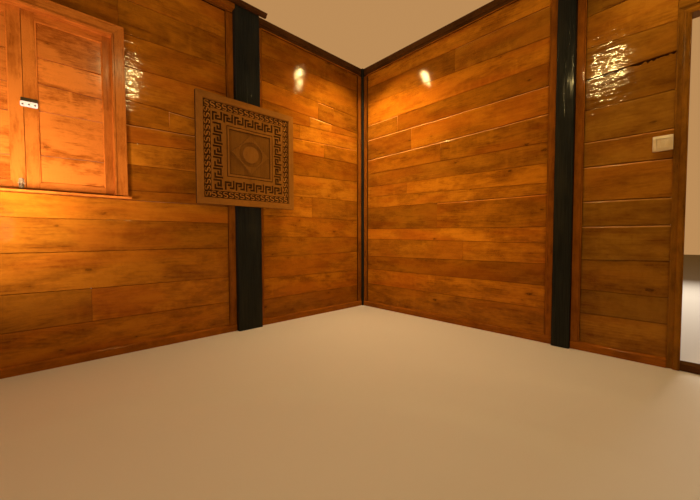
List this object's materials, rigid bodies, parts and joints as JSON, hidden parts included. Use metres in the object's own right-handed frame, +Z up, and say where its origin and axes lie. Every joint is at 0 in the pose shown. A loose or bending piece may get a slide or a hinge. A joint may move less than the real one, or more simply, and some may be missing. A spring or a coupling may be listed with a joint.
{
  "type": "timber plank wall corner with shuttered window and doorway",
  "caption": "Inside corner of a post-and-plank house wall: black posts, grooved rails, varnished boards, a shuttered window, a carved panel, a light switch and an open doorway.",
  "frame": {"origin": "on the floor where the room faces of the two plank walls meet, on the corner post's foot", "axes": "+X from the window wall towards the outside of the door wall, so the window wall runs along -X; +Y to the outside of the window wall, so the door wall runs along -Y; +Z up"},
  "size_m": [4.214, 3.7, 2.6],
  "materials": {
    "black_post": "black stain, hand-hewn, satin varnish",
    "wall_boards": "orange-brown varnish over strong grain",
    "frame_timber": "brown satin varnish",
    "dark_rail": "dark brown satin stain",
    "window_timber": "orange-brown satin varnish",
    "shutter_timber": "orange-brown satin varnish",
    "carved_timber": "dull waxed carving",
    "hasp_metal": "worn pale metal",
    "bolt_brass": "worn cast brass",
    "switch_plastic": "cream plastic"
  },
  "bodies": {
    "root": {"carved_panel_field": "carved_timber", "carved_panel_frame": "carved_timber", "corner_post": "black_post", "crown_moulding": "dark_rail", "door_bay_boards_beside": "wall_boards", "door_bay_boards_over": "wall_boards", "door_bay_bottom_rail": "frame_timber", "door_bay_stile": "frame_timber", "door_bay_top_rail": "dark_rail", "door_far_jamb": "frame_timber", "door_head": "frame_timber", "door_near_jamb": "frame_timber", "door_threshold": "dark_rail", "door_wall_corner_bay_boards": "wall_boards", "door_wall_corner_bay_bottom_rail": "frame_timber", "door_wall_corner_bay_stile_at_corner": "frame_timber", "door_wall_corner_bay_stile_at_post": "frame_timber", "door_wall_corner_bay_top_rail": "dark_rail", "door_wall_end_post": "black_post", "door_wall_post": "black_post", "left_shutter_boards": "shutter_timber", "left_shutter_frame": "shutter_timber", "light_switch": "switch_plastic", "right_shutter_boards": "shutter_timber", "right_shutter_frame": "shutter_timber", "shutter_bolt": "bolt_brass", "shutter_hasp": "hasp_metal", "window_bay_boards_left": "wall_boards", "window_bay_boards_over": "wall_boards", "window_bay_boards_right": "wall_boards", "window_bay_boards_under": "wall_boards", "window_bay_bottom_rail": "frame_timber", "window_bay_head_beam": "frame_timber", "window_bay_stile_at_end": "frame_timber", "window_bay_stile_at_post": "frame_timber", "window_head": "window_timber", "window_inside_casing": "window_timber", "window_left_jamb": "window_timber", "window_outside_casing": "window_timber", "window_right_jamb": "window_timber", "window_sill": "window_timber", "window_wall_corner_bay_boards": "wall_boards", "window_wall_corner_bay_bottom_rail": "frame_timber", "window_wall_corner_bay_stile_at_corner": "frame_timber", "window_wall_corner_bay_stile_at_post": "frame_timber", "window_wall_corner_bay_top_rail": "dark_rail", "window_wall_end_post": "black_post", "window_wall_post": "black_post"}
  },
  "joints": []
}
